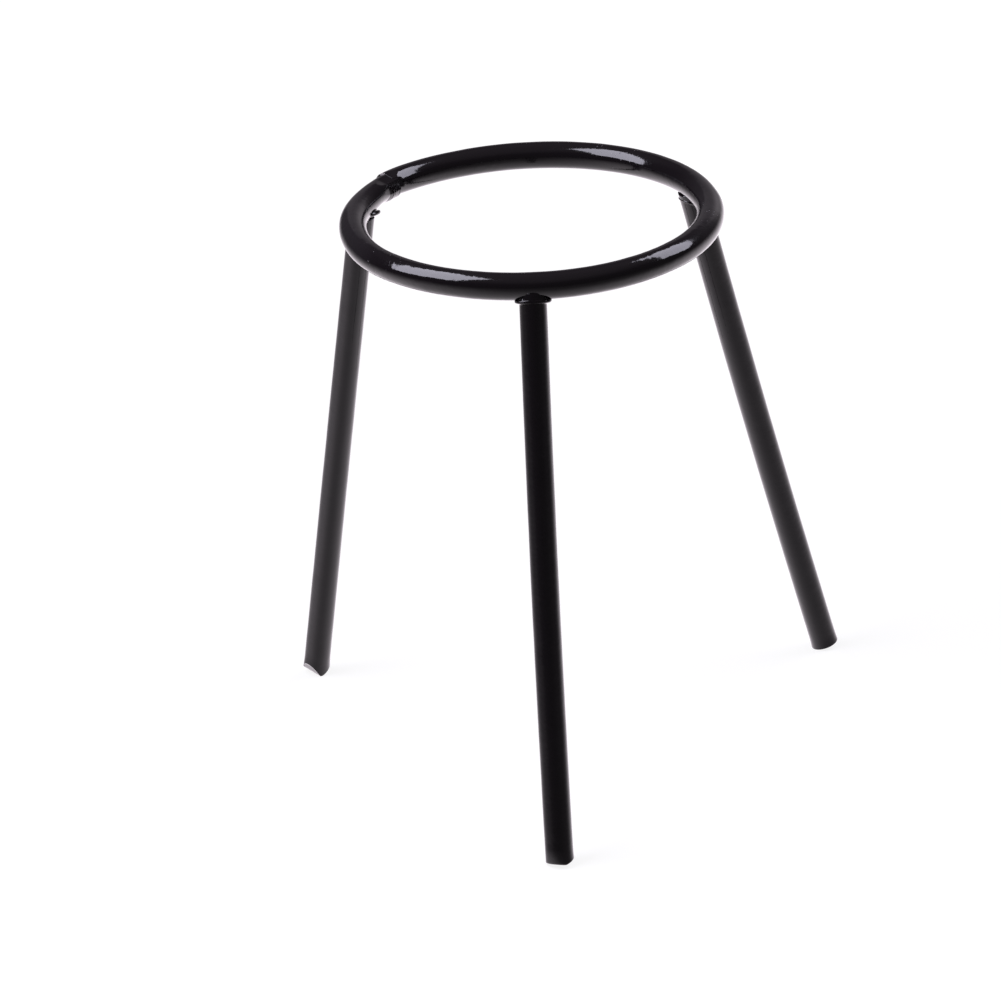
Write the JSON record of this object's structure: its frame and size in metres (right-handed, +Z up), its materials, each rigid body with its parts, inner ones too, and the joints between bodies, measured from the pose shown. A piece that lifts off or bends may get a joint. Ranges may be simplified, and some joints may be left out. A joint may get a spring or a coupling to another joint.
{
  "type": "laboratory tripod stand",
  "caption": "Tripod stand of black painted round bar: a welded ring on splayed legs with cropped feet, to hold vessels over a burner.",
  "frame": {"origin": "point on the bench straight below the middle of the ring, where a burner stands", "axes": "+Z up along the ring's axis; -Y towards the front leg; +X towards the right leg's side"},
  "size_m": [0.2065, 0.1957, 0.211],
  "materials": {
    "ring_paint": "wet gloss black enamel",
    "leg_paint": "thin satin black enamel with small runs",
    "weld_paint": "black enamel over rough weld metal"
  },
  "bodies": {
    "root": {"ring": "ring_paint", "ring_seam_weld": "weld_paint", "front_leg": "leg_paint", "left_leg": "leg_paint", "right_leg": "leg_paint", "front_leg_weld": "weld_paint", "left_leg_weld": "weld_paint", "right_leg_weld": "weld_paint"}
  },
  "joints": []
}
